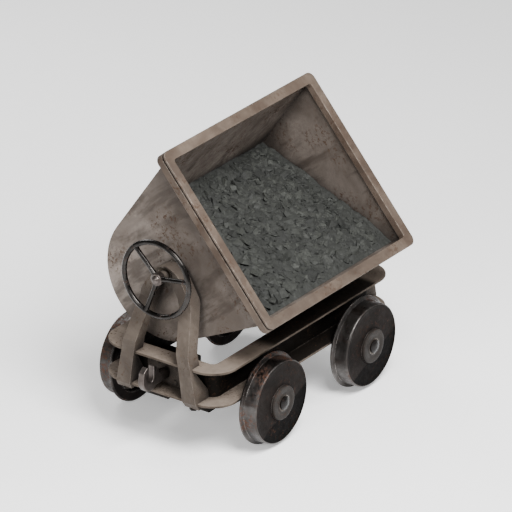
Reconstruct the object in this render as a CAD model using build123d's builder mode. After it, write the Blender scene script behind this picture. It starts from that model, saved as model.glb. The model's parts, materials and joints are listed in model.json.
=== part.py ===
"""Mine cart: a rail tub on a channel frame, tipped about end trunnions by a handwheel.

Millimetres. X runs along the rails with the handwheel end at -X, the tub tips towards -Y,
and Z is up from the lowest points of the wheel flanges.
"""
import os
from math import asin, cos, radians, sin, tan

from build123d import *

os.makedirs("parts", exist_ok=True)

# Running and seating fits
running_fit = 0.05
seat_gap = 0.3

# Wheels and axles
wheel_base = 566.0
tread_radius = 160.0
flange_depth = 14.0
flange_thickness = 14.0
wheel_width = 66.0
wheel_outer_face = 350.0
wheel_recess = 26.0
wheel_rim_depth = 24.0
hub_radius = 65.0
hub_raise = 12.0
axle_radius = 22.0
bush_wall = 8.0
cap_radius = 25.0
cap_length = 12.0
collar_radius = 34.0
collar_length = 14.0

# Frame
frame_beyond_tub = 121.0
frame_half_width = 272.0
frame_depth = 140.0
frame_flange = 70.0
flange_plate = 10.0
web_plate = 8.0
frame_corner = 102.0
frame_above_axle = 40.0
tub_above_bottom = 120.0

# Axle blocks and the plates that carry them
block_reach = {"front": 163.0, "rear": 50.0}
block_past_axle = 50.0
block_inner = 44.0
block_outer = 138.0
block_drop = 45.0
block_nose = 12.0
truck_plate = 12.0
block_bolt_radius = 8.0
block_bolt_inset = 20.0

# Trestles
foot_lap = 12.0
crown_gap = 16.0
trestle_depth = 57.0
knee_low = 46.0
knee_high = 206.0
foot_plate = 16.0
foot_hook = 35.0
foot_outer = 181.0
foot_width = 62.0
waist_outer = 152.0
leg_width = 54.0
shoulder_outer = 108.0
crown_half = 64.0
crown_shoulder_drop = 8.0
crown_above_pivot = 28.0
crown_thickness = 60.0

# Tub
tub_tilt = 49.7
tub_half_length = 434.0
tub_plate = 6.0
bottom_radius = 248.0
bottom_centre_drop = 86.0
side_slope = 15.0
mouth_height = 243.5
rim_overhang = 22.0
rim_inside_lip = 16.0
rim_plate = 8.0
rim_groove = 6.0
rim_groove_inset = 8.0
rim_band_depth = 29.0
rim_corner = 28.0
rim_open_corner = 10.0
rim_skirt_depth = 20.0
rim_skirt_wall = 4.0

# Trunnions and handwheel
trunnion_radius = 17.0
trunnion_flange_radius = 38.0
flange_rivet_radius = 4.5
flange_rivet_circle = 28.0
trunnion_flange = 10.0
pivot_bush_wall = 6.0
pivot_bush_lip = 5.0
pivot_bush_lip_radius = 29.0
wheel_from_crown = 53.0
wheel_ring_radius = 142.0
ring_tube_radius = 11.0
spoke_radius = 7.5
spoke_angles = (49.0, 169.0, 289.0)
hub_boss_radius = 24.0
hub_boss_length = 26.0
hub_set_back = 8.0
hub_nut_radius = 17.0
hub_nut_height = 11.0
key_size = 6.0

# Draw gear
draw_plate = 14.0
draw_plate_width = 170.0
draw_plate_height = 96.0
draw_above_bottom = 66.0
hook_thickness = 24.0
hook_beyond_frame = 53.0
hook_rise = 18.0
hook_radius = 48.0
hook_slot_radius = 14.0
hook_tip = 52.0
shank_radius = 13.0
rivet_radius = 8.0
rivet_head = 5.0

# Ore
ore_far_level = -116.0
ore_mid_offset = -20.0
ore_mid_level = 30.0
ore_low_offset = -192.0
ore_low_level = 119.0
ore_lip_level = 167.0

# Heights and offsets that follow from the sizes above
flange_radius = tread_radius + flange_depth
axle_height = flange_radius
frame_bottom = axle_height + frame_above_axle
frame_half_length = tub_half_length + frame_beyond_tub
trestle_front_face = frame_half_length + foot_lap
crown_back = tub_half_length + crown_gap
crown_front = crown_back + trestle_depth
trestle_lean = trestle_front_face - crown_front
foot_reach = frame_half_length - foot_hook
wheel_plane = crown_front + wheel_from_crown
hub_plane_x = wheel_plane - hub_set_back
stub_end = hub_plane_x + hub_boss_length / 2
stub_start = hub_plane_x - hub_boss_length / 2
frame_top = frame_bottom + frame_depth
pivot_height = frame_bottom + tub_above_bottom + bottom_radius + bottom_centre_drop
draw_height = frame_bottom + draw_above_bottom
hook_centre = frame_half_length + hook_beyond_frame
web_out_x = frame_half_length - frame_flange
web_out_y = frame_half_width - frame_flange
web_in_x = web_out_x - web_plate
web_in_y = web_out_y - web_plate
wheel_inner_face = wheel_outer_face - wheel_width
bush_radius = axle_radius + bush_wall
hub_face = wheel_outer_face + hub_raise
slope = tan(radians(side_slope))
tangent_y = bottom_radius * cos(radians(side_slope))
tangent_z = -bottom_centre_drop - bottom_radius * sin(radians(side_slope))
plate_run = tub_plate / cos(radians(side_slope))
rim_half_length = tub_half_length + rim_overhang
rim_open_length = tub_half_length - rim_inside_lip
ends = ((-1, "front"), (1, "rear"))
sides = ((-1, "near"), (1, "far"))
made = []


def side_at(level):
    """Half width of the tub's outside at a level above the pivot."""
    return tangent_y + (level - tangent_z) * slope


rim_half_width = side_at(mouth_height) + rim_overhang
rim_open_width = side_at(mouth_height) - rim_inside_lip - rim_skirt_wall / 2


def tub_section(x):
    """Plane across the tub at x, its own axes tipped with the tub."""
    tilt = radians(tub_tilt)
    return Plane(origin=(x, 0, pivot_height), x_dir=(0, cos(tilt), sin(tilt)), z_dir=(1, 0, 0))


def mouth_plane(level):
    """Plane parallel to the tub's mouth at a level above the pivot."""
    tilt = radians(tub_tilt)
    up = Vector(0, -sin(tilt), cos(tilt))
    return Plane(origin=Vector(0, 0, pivot_height) + up * level, x_dir=(1, 0, 0), z_dir=up)


def dome_middle(radius, height):
    """Point halfway along the arc of a dome whose centre lies on its axis."""
    sphere = (radius * radius + height * height) / (2 * height)
    half = asin(radius / sphere) / 2
    return sphere * sin(half), height - sphere + sphere * cos(half)


def keep(part, name):
    """Label a finished piece and save it."""
    part.label = name
    export_step(part, "parts/" + name + ".step")
    made.append(part)


# ---- Frame: a channel bent into a ring, its open side outward
with BuildPart() as ring:
    with BuildSketch(Plane.XY.offset(frame_bottom), Plane.XY.offset(frame_top - flange_plate)):
        RectangleRounded(2 * frame_half_length, 2 * frame_half_width, frame_corner)
        RectangleRounded(2 * web_in_x, 2 * web_in_y, frame_corner - frame_flange - web_plate, mode=Mode.SUBTRACT)
    extrude(amount=flange_plate)
    with BuildSketch(Plane.XY.offset(frame_bottom)):
        RectangleRounded(2 * web_out_x, 2 * web_out_y, frame_corner - frame_flange)
        RectangleRounded(2 * web_in_x, 2 * web_in_y, frame_corner - frame_flange - web_plate, mode=Mode.SUBTRACT)
    extrude(amount=frame_depth)
    with Locations(Plane.YZ):
        with Locations((0, draw_height)):
            Hole(shank_radius)
    outer_rims = ring.edges().filter_by(lambda e: abs(e.center().X) > web_out_x or abs(e.center().Y) > web_out_y)
    fillet(outer_rims.filter_by(lambda e: e.length > frame_corner).group_by(Axis.Z)[-1], 3)
keep(ring.part, "channel_ring")

# ---- Truck plates, the axle blocks under them and their bolts
def block_span(end, end_name):
    """Lowest and highest X of the axle blocks at one end."""
    towards_end = end * (wheel_base / 2 + block_reach[end_name])
    past_axle = end * (wheel_base / 2 - block_past_axle)
    return min(towards_end, past_axle), max(towards_end, past_axle)


for end, end_name in ends:
    block_from, block_to = block_span(end, end_name)
    for side, side_name in sides:
        with BuildPart() as truck:
            with BuildSketch(Plane.XY.offset(frame_bottom)):
                with Locations(((block_from + block_to) / 2, side * (block_inner + web_in_y) / 2)):
                    Rectangle(block_to - block_from, web_in_y - block_inner)
            extrude(amount=truck_plate)
        keep(truck.part, "truck_plate_" + end_name + "_" + side_name)

        block_mid = side * (block_inner + block_outer) / 2
        with BuildPart() as block:
            with BuildSketch(Plane.XZ.offset(-block_mid - (block_outer - block_inner) / 2)):
                with BuildLine():
                    Polyline(
                        (block_from, frame_bottom),
                        (block_from, axle_height - block_drop + block_nose),
                        (block_from + block_nose, axle_height - block_drop),
                        (block_to - block_nose, axle_height - block_drop),
                        (block_to, axle_height - block_drop + block_nose),
                        (block_to, frame_bottom),
                        close=True,
                    )
                make_face()
            extrude(amount=block_outer - block_inner)
            fillet(block.edges().filter_by(Axis.Y).group_by(Axis.Z)[0], block_nose / 2)
            with BuildSketch(Plane.XZ.offset(-block_mid - (block_outer - block_inner) / 2)):
                with Locations((end * wheel_base / 2, axle_height)):
                    Circle(axle_radius)
            extrude(amount=block_outer - block_inner, mode=Mode.SUBTRACT)
        keep(block.part, "axle_block_" + end_name + "_" + side_name)

with BuildPart() as block_bolts:
    with BuildSketch(Plane.XY.offset(frame_bottom + truck_plate)):
        for end, end_name in ends:
            block_from, block_to = block_span(end, end_name)
            for side, _ in sides:
                for bolt_x in (block_from + block_bolt_inset, block_to - block_bolt_inset):
                    with Locations((bolt_x, side * (block_inner + block_outer) / 2)):
                        RegularPolygon(2 * block_bolt_radius, 6)
    extrude(amount=block_bolt_radius)
keep(block_bolts.part, "block_bolts")

# ---- Axles, their collars and the domed caps that hold the wheels on
for end, end_name in ends:
    with BuildPart() as axle:
        with BuildSketch(Plane.XZ.offset(-wheel_outer_face - hub_raise - seat_gap)):
            with Locations((end * wheel_base / 2, axle_height)):
                Circle(axle_radius)
        extrude(amount=2 * (wheel_outer_face + hub_raise + seat_gap))
        chamfer(axle.faces().filter_by(Axis.Y).edges(), 1)
    keep(axle.part, "axle_" + end_name)

with BuildPart() as collars:
    for side, _ in sides:
        start = side * (wheel_inner_face - seat_gap)
        with BuildSketch(Plane.XZ.offset(-start)):
            for end, _ in ends:
                with Locations((end * wheel_base / 2, axle_height)):
                    Circle(collar_radius)
                    Circle(axle_radius, mode=Mode.SUBTRACT)
        extrude(amount=side * collar_length)
keep(collars.part, "axle_collars")

bulge_y, bulge_z = dome_middle(cap_radius, cap_length * 2 / 3)
with BuildPart() as caps:
    for end, _ in ends:
        for side, _ in sides:
            seat = (end * wheel_base / 2, side * (hub_face + seat_gap), axle_height)
            with BuildSketch(Plane(origin=seat, x_dir=(1, 0, 0), z_dir=(0, 0, side))):
                with BuildLine():
                    Line((0, 0), (cap_radius, 0))
                    Line((cap_radius, 0), (cap_radius, cap_length / 3))
                    ThreePointArc((cap_radius, cap_length / 3), (bulge_y, cap_length / 3 + bulge_z), (0, cap_length))
                    Line((0, cap_length), (0, 0))
                make_face()
            revolve(axis=Axis(seat, (0, 1, 0)))
keep(caps.part, "axle_caps")

# ---- Wheels: flanged discs dished at the back, each with a bush and a raised hub plate
for end, end_name in ends:
    for side, side_name in sides:
        hub_plane = Plane(origin=(end * wheel_base / 2, side * wheel_inner_face, axle_height),
                          x_dir=(1, 0, 0), z_dir=(0, 0, side))
        spin = Axis(hub_plane.origin, (0, 1, 0))
        name_end = end_name + "_" + side_name

        with BuildPart() as wheel:
            with BuildSketch(hub_plane):
                with BuildLine():
                    Polyline(
                        (bush_radius, 0),
                        (hub_radius, 0),
                        (hub_radius + wheel_rim_depth / 2, wheel_recess),
                        (tread_radius - 1.5 * wheel_rim_depth, wheel_recess),
                        (tread_radius - wheel_rim_depth, 0),
                        (flange_radius - 4, 0),
                        (flange_radius, 4),
                        (flange_radius, flange_thickness - 5),
                        (tread_radius + 1.5, flange_thickness),
                        (tread_radius, flange_thickness + 3),
                        (tread_radius - 1, wheel_width - 4),
                        (tread_radius - 5, wheel_width),
                        (bush_radius, wheel_width),
                        close=True,
                    )
                make_face()
            revolve(axis=spin)
        keep(wheel.part, "wheel_" + name_end)

        with BuildPart() as bush:
            with BuildSketch(Plane.XZ.offset(-side * wheel_inner_face)):
                with Locations((end * wheel_base / 2, axle_height)):
                    Circle(bush_radius)
                    Circle(axle_radius + running_fit, mode=Mode.SUBTRACT)
            extrude(amount=-side * (wheel_width + hub_raise))
        keep(bush.part, "wheel_bush_" + name_end)

        with BuildPart() as hub:
            with BuildSketch(Plane.XZ.offset(-side * wheel_outer_face)):
                with Locations((end * wheel_base / 2, axle_height)):
                    Circle(hub_radius)
                    Circle(bush_radius, mode=Mode.SUBTRACT)
            extrude(amount=-side * hub_raise)
            outer_edge = hub.edges().filter_by(GeomType.CIRCLE).group_by(Axis.Y)[0 if side < 0 else -1]
            fillet(outer_edge.sort_by(SortBy.RADIUS)[-1], hub_raise / 3)
        keep(hub.part, "hub_plate_" + name_end)

# ---- Trestles: a bar bent over the pivot, its legs lapping the frame's end flanges
leg_outline = (
    (foot_outer, frame_bottom - foot_plate),
    (waist_outer, frame_top),
    (shoulder_outer, pivot_height - 1.3 * crown_half),
    (crown_half, pivot_height - crown_shoulder_drop),
)
leg_inside = (
    (foot_outer - foot_width, frame_bottom - foot_plate),
    (waist_outer - leg_width, frame_top),
    (shoulder_outer - leg_width, pivot_height - 1.3 * crown_half),
    (crown_half / 2 - 6, pivot_height + crown_above_pivot - crown_thickness),
)
face_back = trestle_front_face - trestle_depth
for end, end_name in ends:
    with BuildPart() as trestle:
        with BuildSketch(Plane.YZ):
            with BuildLine():
                Polyline(*leg_outline)
                ThreePointArc(leg_outline[-1], (0, pivot_height + crown_above_pivot),
                              (-leg_outline[-1][0], leg_outline[-1][1]))
                Polyline(*[(-y, z) for y, z in reversed(leg_outline)])
                Line((-foot_outer, frame_bottom - foot_plate), (foot_outer, frame_bottom - foot_plate))
            make_face()
            with BuildLine():
                Polyline(*leg_inside, *[(-y, z) for y, z in reversed(leg_inside)], close=True)
            make_face(mode=Mode.SUBTRACT)
        extrude(amount=end * (trestle_front_face + trestle_depth))
        fillet(trestle.edges().filter_by(Axis.X).filter_by_position(
            Axis.Z, pivot_height - crown_thickness, pivot_height), 18)
        with BuildSketch(Plane.XZ.offset(-foot_outer - foot_width)):
            with BuildLine():
                Polyline(
                    (end * trestle_front_face, frame_top + knee_low),
                    (end * trestle_front_face, frame_bottom + foot_plate / 2),
                    (end * (trestle_front_face - foot_plate), frame_bottom - foot_plate),
                    (end * foot_reach, frame_bottom - foot_plate),
                    (end * foot_reach, frame_bottom),
                    (end * web_out_x, frame_bottom),
                    (end * web_out_x, frame_bottom + 2.6 * foot_plate),
                    (end * (frame_half_length - flange_plate), frame_top - flange_plate),
                    (end * (frame_half_length - flange_plate), frame_top),
                    (end * face_back, frame_top),
                    (end * face_back, frame_top + knee_low),
                    (end * crown_back, frame_top + knee_high),
                    (end * crown_back, pivot_height + crown_thickness),
                    (end * crown_front, pivot_height + crown_thickness),
                    (end * crown_front, frame_top + knee_high),
                    close=True,
                )
            make_face()
        extrude(amount=2 * (foot_outer + foot_width), mode=Mode.INTERSECT)
        with BuildSketch(Plane.XY.offset(frame_bottom), Plane.XY.offset(frame_top - flange_plate)):
            RectangleRounded(2 * frame_half_length, 2 * frame_half_width, frame_corner)
        extrude(amount=flange_plate, mode=Mode.SUBTRACT)
        with BuildSketch(Plane.XY.offset(frame_bottom)):
            RectangleRounded(2 * web_out_x, 2 * web_out_y, frame_corner - frame_flange)
        extrude(amount=frame_depth, mode=Mode.SUBTRACT)
        with BuildSketch(Plane.YZ):
            with Locations((0, pivot_height)):
                Circle(trunnion_radius + pivot_bush_wall)
        extrude(amount=end * trestle_front_face, mode=Mode.SUBTRACT)
    keep(trestle.part, "trestle_" + end_name)

    with BuildPart() as bearing:
        with BuildSketch(Plane.YZ.offset(end * crown_back)):
            with Locations((0, pivot_height)):
                Circle(trunnion_radius + pivot_bush_wall)
        extrude(amount=end * trestle_depth)
        with BuildSketch(Plane.YZ.offset(end * crown_front)):
            with Locations((0, pivot_height)):
                Circle(pivot_bush_lip_radius)
        extrude(amount=end * pivot_bush_lip)
        with BuildSketch(Plane.YZ.offset(end * crown_back)):
            with Locations((0, pivot_height)):
                Circle(trunnion_radius + running_fit)
        extrude(amount=end * (trestle_depth + pivot_bush_lip), mode=Mode.SUBTRACT)
    keep(bearing.part, "pivot_bush_" + end_name)

with BuildPart() as foot_bolts:
    with BuildSketch(Plane.XY.offset(frame_bottom - foot_plate)):
        for end, _ in ends:
            for side, _ in sides:
                with Locations((end * (foot_reach + 1.2 * foot_plate), side * (foot_outer - foot_width / 2 - 2))):
                    RegularPolygon(2 * block_bolt_radius, 6)
    extrude(amount=-block_bolt_radius)
keep(foot_bolts.part, "trestle_bolts")

# ---- Draw gear: a riveted pad and a forged hook at each end
for end, end_name in ends:
    pad_face = web_out_x + draw_plate
    with BuildPart() as pad:
        with BuildSketch(Plane.YZ.offset(end * web_out_x)):
            with Locations((0, draw_height)):
                RectangleRounded(draw_plate_width, draw_plate_height, rivet_radius)
        extrude(amount=end * draw_plate)
        with BuildSketch(Plane.YZ.offset(end * web_out_x)):
            with Locations((0, draw_height)):
                Circle(shank_radius)
        extrude(amount=end * draw_plate, mode=Mode.SUBTRACT)
    keep(pad.part, "draw_pad_" + end_name)

    with BuildPart() as hook:
        with BuildSketch(Plane.XZ.offset(-hook_thickness / 2)):
            with Locations((end * hook_centre, draw_height + hook_rise)):
                Circle(hook_radius)
            with BuildLine():
                Polyline(
                    (end * (hook_centre + hook_radius), draw_height + hook_rise),
                    (end * (hook_centre + hook_radius - 4), draw_height + hook_rise + hook_tip - 16),
                    (end * (hook_centre + hook_slot_radius + 6), draw_height + hook_rise + hook_tip),
                    (end * (hook_centre + hook_slot_radius), draw_height + hook_rise + hook_tip - 10),
                    (end * (hook_centre + hook_slot_radius), draw_height + hook_rise),
                    close=True,
                )
            make_face()
            with BuildLine():
                Polyline(
                    (end * pad_face, draw_height - shank_radius - 4),
                    (end * pad_face, draw_height + shank_radius + 4),
                    (end * (hook_centre - hook_radius + 6), draw_height + hook_rise + 12),
                    (end * hook_centre, draw_height - hook_rise),
                    close=True,
                )
            make_face()
            with Locations((end * hook_centre, draw_height + hook_rise)):
                Circle(hook_slot_radius, mode=Mode.SUBTRACT)
                Rectangle(2 * hook_slot_radius, hook_tip, align=(Align.CENTER, Align.MIN), mode=Mode.SUBTRACT)
        extrude(amount=hook_thickness)
        with BuildSketch(Plane.YZ.offset(end * pad_face)):
            with Locations((0, draw_height)):
                Circle(shank_radius - seat_gap)
        extrude(amount=-end * (draw_plate + web_plate + 2 * shank_radius))
    keep(hook.part, "draw_hook_" + end_name)

with BuildPart() as hook_nuts:
    for end, _ in ends:
        with BuildSketch(Plane.YZ.offset(end * (web_in_x - seat_gap))):
            with Locations((0, draw_height)):
                RegularPolygon(1.7 * shank_radius, 6)
                Circle(shank_radius, mode=Mode.SUBTRACT)
        extrude(amount=-end * 1.2 * shank_radius)
keep(hook_nuts.part, "hook_nuts")

with BuildPart() as pad_rivets:
    for end, _ in ends:
        with BuildSketch(Plane.YZ.offset(end * (web_out_x + draw_plate))):
            with Locations((0, draw_height)):
                with GridLocations(draw_plate_width - 3 * rivet_radius, draw_plate_height - 4 * rivet_radius, 2, 2):
                    Circle(rivet_radius)
                with GridLocations(draw_plate_width / 2 - rivet_radius, draw_plate_height - 4 * rivet_radius, 2, 2):
                    Circle(rivet_radius)
        extrude(amount=end * rivet_head)
    fillet(pad_rivets.faces().filter_by(Axis.X).filter_by(
        lambda f: abs(f.center().X) > web_out_x + draw_plate + rivet_head / 2).edges(), rivet_head * 0.7)
keep(pad_rivets.part, "draw_pad_rivets")

# ---- Tub: a round-bottomed shell between two end plates
def tub_outline(inset):
    """Edges of the tub's cross-section, drawn inset from its outside."""
    radius = bottom_radius - inset
    edge_y = radius * cos(radians(side_slope))
    edge_z = -bottom_centre_drop - radius * sin(radians(side_slope))
    top_y = edge_y + (mouth_height - rim_plate - edge_z) * slope
    Line((-top_y, mouth_height - rim_plate), (-edge_y, edge_z))
    ThreePointArc((-edge_y, edge_z), (0, -bottom_centre_drop - radius), (edge_y, edge_z))
    Line((edge_y, edge_z), (top_y, mouth_height - rim_plate))
    Line((top_y, mouth_height - rim_plate), (-top_y, mouth_height - rim_plate))


with BuildPart() as shell:
    with BuildSketch(tub_section(tub_plate - tub_half_length)):
        with BuildLine():
            tub_outline(0)
        make_face()
        with BuildLine():
            tub_outline(tub_plate)
        make_face(mode=Mode.SUBTRACT)
    extrude(amount=2 * (tub_half_length - tub_plate))
keep(shell.part, "tub_shell")

for end, end_name in ends:
    with BuildPart() as end_plate:
        with BuildSketch(tub_section(end * tub_half_length)):
            with BuildLine():
                tub_outline(0)
            make_face()
        extrude(amount=-end * tub_plate)
    keep(end_plate.part, "tub_end_" + end_name)

# ---- Rim: a flat lip on the mouth and a band with a groove around it
band_top = mouth_height - rim_plate
band_low = band_top - rim_groove - rim_band_depth
with BuildPart() as lip:
    with BuildSketch(mouth_plane(band_top)):
        RectangleRounded(2 * rim_half_length, 2 * rim_half_width, rim_corner)
        RectangleRounded(2 * rim_open_length, 2 * rim_open_width, rim_open_corner, mode=Mode.SUBTRACT)
    extrude(amount=rim_plate)
    fillet(lip.faces().sort_by(Axis(mouth_plane(0).origin, mouth_plane(0).z_dir))[-1].edges(), 3)
    with BuildSketch(mouth_plane(band_top)):
        RectangleRounded(2 * (rim_open_length + rim_skirt_wall), 2 * (rim_open_width + rim_skirt_wall),
                         rim_open_corner + rim_skirt_wall)
        RectangleRounded(2 * rim_open_length, 2 * rim_open_width, rim_open_corner, mode=Mode.SUBTRACT)
    extrude(amount=-rim_skirt_depth)
keep(lip.part, "rim_lip")

with BuildPart() as band:
    with BuildSketch(mouth_plane(band_low)):
        RectangleRounded(2 * rim_half_length, 2 * rim_half_width, rim_corner)
    extrude(amount=rim_band_depth)
    with BuildSketch(mouth_plane(band_low)):
        RectangleRounded(2 * (rim_half_length - rim_groove_inset), 2 * (rim_half_width - rim_groove_inset),
                         rim_corner - rim_groove_inset)
    extrude(amount=rim_band_depth + rim_groove)
    with BuildSketch(tub_section(-tub_half_length)):
        with BuildLine():
            tub_outline(0)
        make_face()
    extrude(amount=2 * tub_half_length, mode=Mode.SUBTRACT)
keep(band.part, "rim_band")

# ---- Trunnions: a riveted flange and a stub that turns in the trestle
for end, end_name in ends:
    reach = stub_end if end < 0 else crown_front + pivot_bush_lip + hub_boss_length
    with BuildPart() as trunnion:
        with BuildSketch(Plane.YZ.offset(end * tub_half_length)):
            with Locations((0, pivot_height)):
                Circle(trunnion_flange_radius)
        extrude(amount=end * trunnion_flange)
        with BuildSketch(Plane.YZ.offset(end * tub_half_length)):
            with Locations((0, pivot_height)):
                Circle(trunnion_radius)
        extrude(amount=end * (reach - tub_half_length))
        if end < 0:
            with BuildSketch(Plane.YZ.offset(end * (reach - hub_boss_length))):
                with Locations((0, pivot_height + trunnion_radius)):
                    Rectangle(key_size, key_size)
            extrude(amount=end * hub_boss_length, mode=Mode.SUBTRACT)
    keep(trunnion.part, "trunnion_" + end_name)

with BuildPart() as flange_rivets:
    for end, _ in ends:
        with BuildSketch(Plane.YZ.offset(end * (tub_half_length + trunnion_flange))):
            with Locations((0, pivot_height)):
                with PolarLocations(flange_rivet_circle, 6, start_angle=tub_tilt):
                    Circle(flange_rivet_radius)
        extrude(amount=end * rivet_head * 0.8)
keep(flange_rivets.part, "trunnion_rivets")

with BuildPart() as rear_collar:
    collar_start = crown_front + pivot_bush_lip + seat_gap
    with BuildSketch(Plane.YZ.offset(collar_start)):
        with Locations((0, pivot_height)):
            Circle(hub_boss_radius)
            Circle(trunnion_radius, mode=Mode.SUBTRACT)
    extrude(amount=hub_boss_length - 8)
    chamfer(rear_collar.edges().group_by(Axis.X)[-1].sort_by(SortBy.RADIUS)[-1], 2)
keep(rear_collar.part, "trunnion_collar")

# ---- Handwheel: ring, spokes, boss, key and domed nut on the front trunnion
with BuildPart() as hub_boss:
    with BuildSketch(Plane.YZ.offset(-stub_start)):
        with Locations((0, pivot_height)):
            Circle(hub_boss_radius)
            Circle(trunnion_radius, mode=Mode.SUBTRACT)
            with Locations((0, trunnion_radius)):
                Rectangle(key_size, key_size, mode=Mode.SUBTRACT)
    extrude(amount=-hub_boss_length)
    chamfer(hub_boss.edges().group_by(Axis.X)[0].filter_by(GeomType.CIRCLE).sort_by(SortBy.RADIUS)[-1], 3)
keep(hub_boss.part, "handwheel_boss")

with BuildPart() as key:
    with BuildSketch(Plane.YZ.offset(-stub_start)):
        with Locations((0, pivot_height + trunnion_radius)):
            Rectangle(key_size, key_size)
    extrude(amount=-hub_boss_length)
keep(key.part, "handwheel_key")

bulge_y, bulge_z = dome_middle(hub_nut_radius, hub_nut_height)
with BuildPart() as nut:
    with BuildSketch(Plane(origin=(-stub_end, 0, pivot_height), x_dir=(0, 1, 0), z_dir=(0, 0, 1))):
        with BuildLine():
            Line((0, 0), (hub_nut_radius, 0))
            ThreePointArc((hub_nut_radius, 0), (bulge_y, bulge_z), (0, hub_nut_height))
            Line((0, hub_nut_height), (0, 0))
        make_face()
    revolve(axis=Axis((-stub_end, 0, pivot_height), (1, 0, 0)))
keep(nut.part, "handwheel_nut")

with BuildPart() as wheel_ring:
    with BuildSketch(Plane(origin=(-wheel_plane, 0, pivot_height), x_dir=(0, 1, 0), z_dir=(0, 0, 1))):
        with Locations((wheel_ring_radius, 0)):
            Circle(ring_tube_radius)
    revolve(axis=Axis((-wheel_plane, 0, pivot_height), (1, 0, 0)))
keep(wheel_ring.part, "handwheel_ring")

with BuildPart() as spokes:
    for angle in spoke_angles:
        radial = Vector(0, cos(radians(angle)), sin(radians(angle)))
        inner = Vector(-hub_plane_x, 0, pivot_height) + radial * (hub_boss_radius - 3)
        outer = Vector(-wheel_plane, 0, pivot_height) + radial * wheel_ring_radius
        with BuildSketch(Plane(origin=inner, x_dir=radial.cross(Vector(1, 0, 0)), z_dir=outer - inner)):
            Circle(spoke_radius)
        extrude(amount=(outer - inner).length)
    with BuildSketch(Plane.YZ.offset(-stub_start + hub_boss_length)):
        with Locations((0, pivot_height)):
            Circle(hub_boss_radius)
    extrude(amount=-3 * hub_boss_length, mode=Mode.SUBTRACT)
    with BuildSketch(Plane(origin=(-wheel_plane, 0, pivot_height), x_dir=(0, 1, 0), z_dir=(0, 0, 1))):
        with Locations((wheel_ring_radius, 0)):
            Circle(ring_tube_radius)
    revolve(axis=Axis((-wheel_plane, 0, pivot_height), (1, 0, 0)), mode=Mode.SUBTRACT)
keep(spokes.part, "handwheel_spokes")

# ---- Ore lying in the tub, banked towards the raised side
with BuildPart() as ore:
    inset = tub_plate + seat_gap
    with BuildSketch(tub_section(tub_plate + seat_gap - tub_half_length)):
        with BuildLine():
            tub_outline(inset)
        make_face()
        with BuildLine():
            far_y = side_at(ore_far_level)
            low_y = -side_at(ore_lip_level)
            Polyline(
                (low_y, ore_lip_level),
                (ore_low_offset, ore_low_level),
                (ore_mid_offset, ore_mid_level),
                (far_y, ore_far_level),
                (2 * far_y, ore_far_level),
                (2 * far_y, 2 * mouth_height),
                (low_y - mouth_height, 2 * mouth_height),
                (low_y - mouth_height, ore_lip_level),
                close=True,
            )
        make_face(mode=Mode.SUBTRACT)
    extrude(amount=2 * (tub_half_length - tub_plate - seat_gap))
keep(ore.part, "ore_load")

print(len(made), "pieces")
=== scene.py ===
import json
import math
import random

import bmesh
import bpy
from mathutils import Matrix, Vector, noise


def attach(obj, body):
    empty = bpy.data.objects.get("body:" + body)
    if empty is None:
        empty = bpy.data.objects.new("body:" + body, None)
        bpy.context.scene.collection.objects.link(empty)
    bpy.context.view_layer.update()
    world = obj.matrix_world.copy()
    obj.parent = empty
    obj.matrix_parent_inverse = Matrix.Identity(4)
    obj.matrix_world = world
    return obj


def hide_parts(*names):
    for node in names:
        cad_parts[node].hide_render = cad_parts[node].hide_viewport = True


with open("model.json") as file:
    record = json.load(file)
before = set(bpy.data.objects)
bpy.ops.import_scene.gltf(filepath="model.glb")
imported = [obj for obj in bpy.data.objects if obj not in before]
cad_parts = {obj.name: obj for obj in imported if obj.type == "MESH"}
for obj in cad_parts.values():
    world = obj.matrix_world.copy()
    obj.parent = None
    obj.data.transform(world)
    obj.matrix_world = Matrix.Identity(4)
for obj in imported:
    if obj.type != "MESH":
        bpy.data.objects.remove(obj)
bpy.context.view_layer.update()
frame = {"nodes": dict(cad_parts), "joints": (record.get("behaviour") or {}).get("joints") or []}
cadNodes = frame["nodes"]
mm = 0.001
ends = (("front", -1), ("rear", 1))
sides = (("near", -1), ("far", 1))

# the tub's own axes: tipped about its trunnions, y across and z up out of the mouth
tubTilt = math.radians(49.7)
pivot = Vector(next(j for j in frame["joints"] if j["name"] == "tub_tilt")["pos_m"])
tubFrame = Matrix.Translation(pivot) @ Matrix.Rotation(tubTilt, 4, "X")
print("frame loaded:", len(cadNodes), "nodes")


# shader building helpers

# a shader node with its sockets filled or linked
def place(tree, kind, values=None, **attributes):
    made = tree.nodes.new(kind)
    for key, value in attributes.items():
        setattr(made, key, value)
    for key, value in (values or {}).items():
        if isinstance(value, bpy.types.NodeSocket):
            tree.links.new(value, made.inputs[key])
        else:
            made.inputs[key].default_value = value
    return made


def calc(tree, operation, a, b=0.0, clamp=False):
    return place(tree, "ShaderNodeMath", {0: a, 1: b}, operation=operation, use_clamp=clamp).outputs[0]


def spread(tree, value, low, high, toLow=0.0, toHigh=1.0):
    # stretches value from low..high to toLow..toHigh, eased at both ends
    made = place(tree, "ShaderNodeMapRange", {0: value, 1: low, 2: high, 3: toLow, 4: toHigh},
                 interpolation_type="SMOOTHSTEP")
    return made.outputs[0]


def blendColour(tree, share, a, b):
    made = place(tree, "ShaderNodeMix", data_type="RGBA", blend_type="MIX")
    for index, value in ((0, share), (6, a), (7, b)):
        if isinstance(value, bpy.types.NodeSocket):
            tree.links.new(value, made.inputs[index])
        else:
            made.inputs[index].default_value = value if index == 0 else (*value, 1.0)
    return made.outputs[2]


def cloud(tree, where, scale, detail=5.0, roughness=0.55, distortion=0.0):
    values = {"Vector": where, "Scale": scale, "Detail": detail, "Roughness": roughness,
              "Distortion": distortion}
    return place(tree, "ShaderNodeTexNoise", values).outputs[0]


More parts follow.
